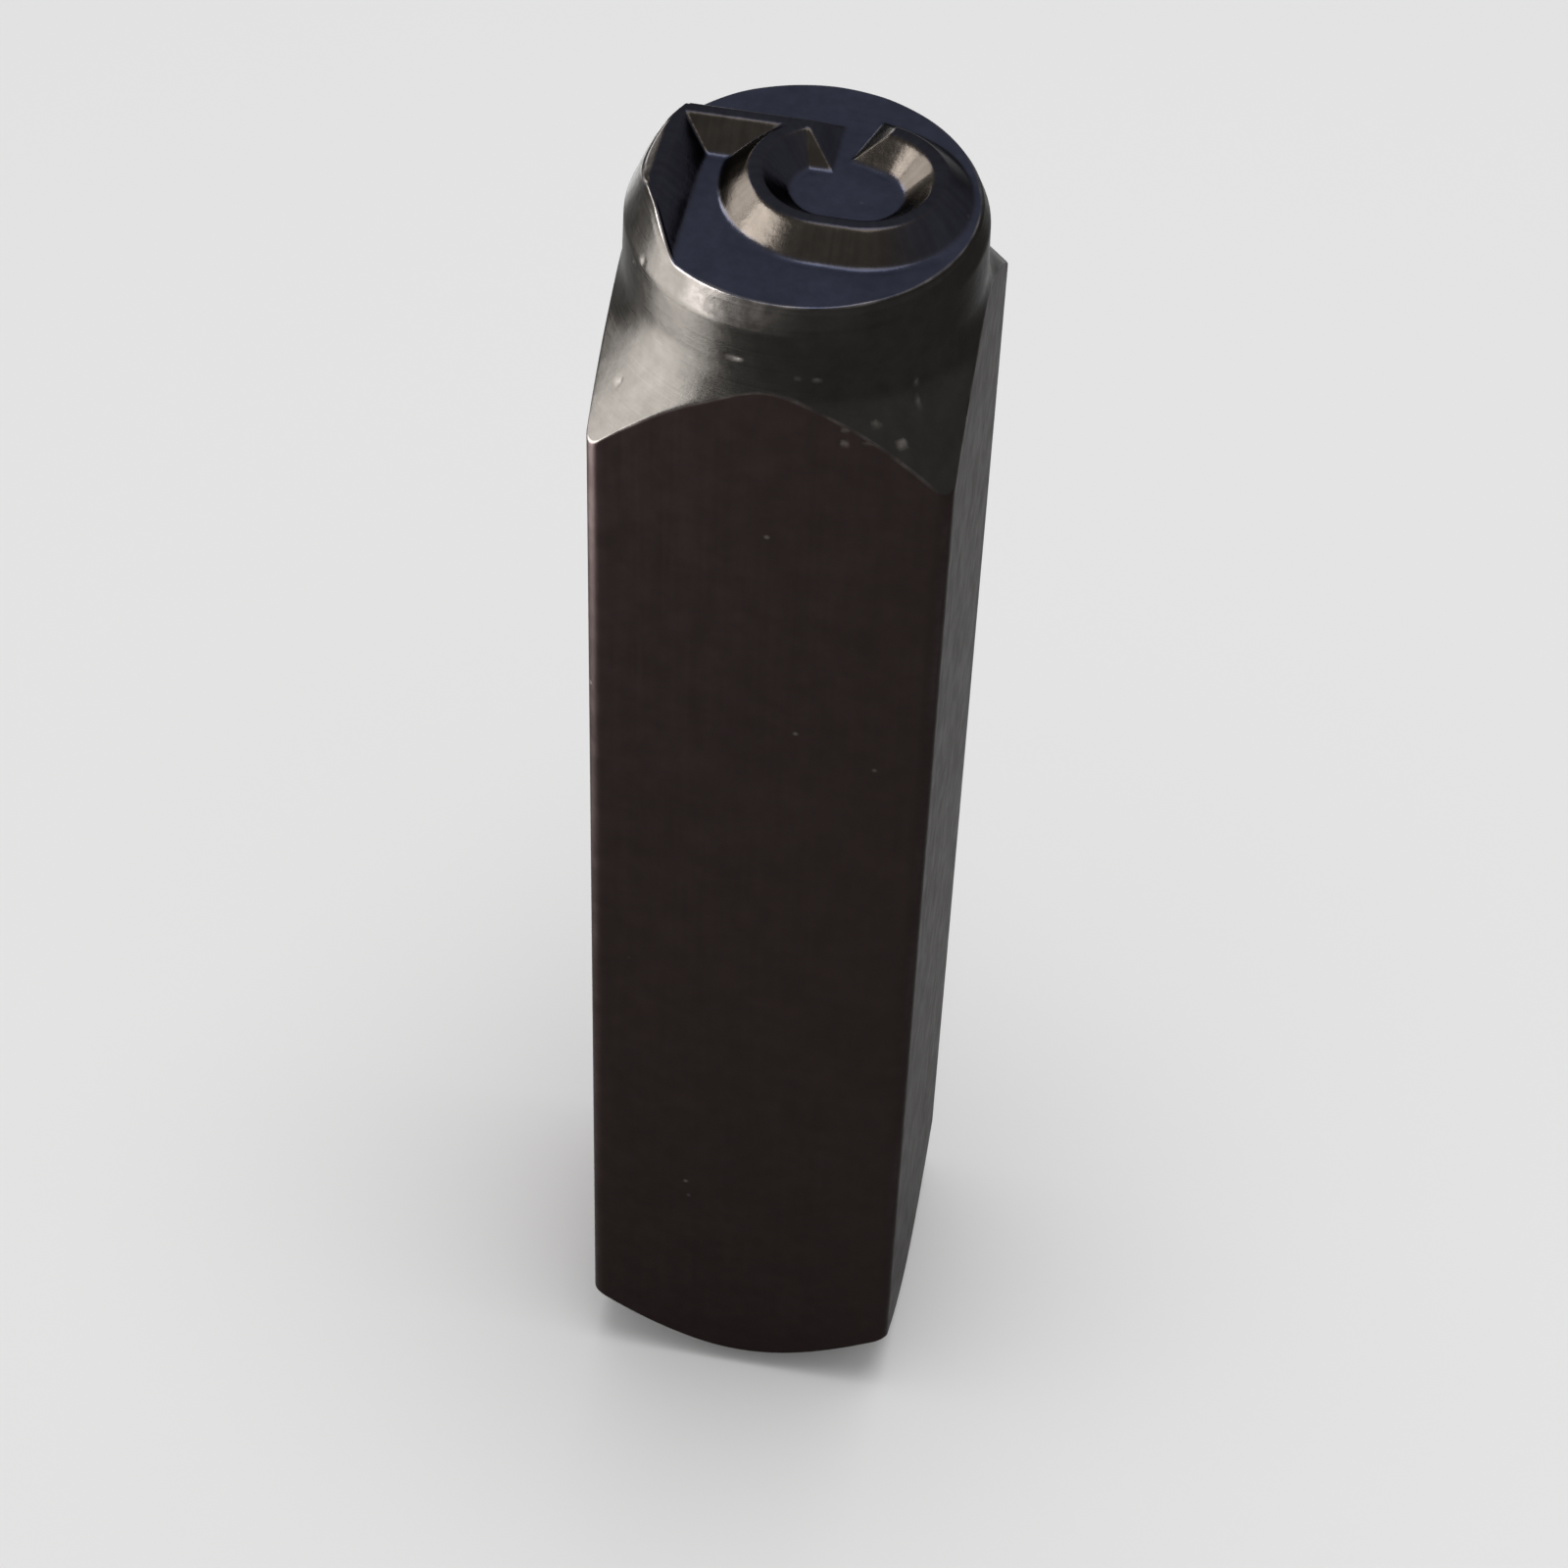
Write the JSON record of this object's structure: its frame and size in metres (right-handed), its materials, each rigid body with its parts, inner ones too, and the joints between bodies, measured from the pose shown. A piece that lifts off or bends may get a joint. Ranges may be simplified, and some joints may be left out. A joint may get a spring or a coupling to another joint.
{
  "type": "steel number punch",
  "caption": "Square steel hand punch with a turned round head that carries a raised, mirrored 5 for stamping the numeral into metal.",
  "frame": {"origin": "middle of the struck end, which the punch stands on", "axes": "+Z along the bar to the numeral; the four flats face +X, -X, +Y and -Y; the numeral's top points to -X"},
  "size_m": [0.014, 0.014, 0.067],
  "materials": {
    "blackened_steel": "black oxide, satin, lightly nicked"
  },
  "bodies": {
    "root": {"number_punch": "blackened_steel"}
  },
  "joints": []
}
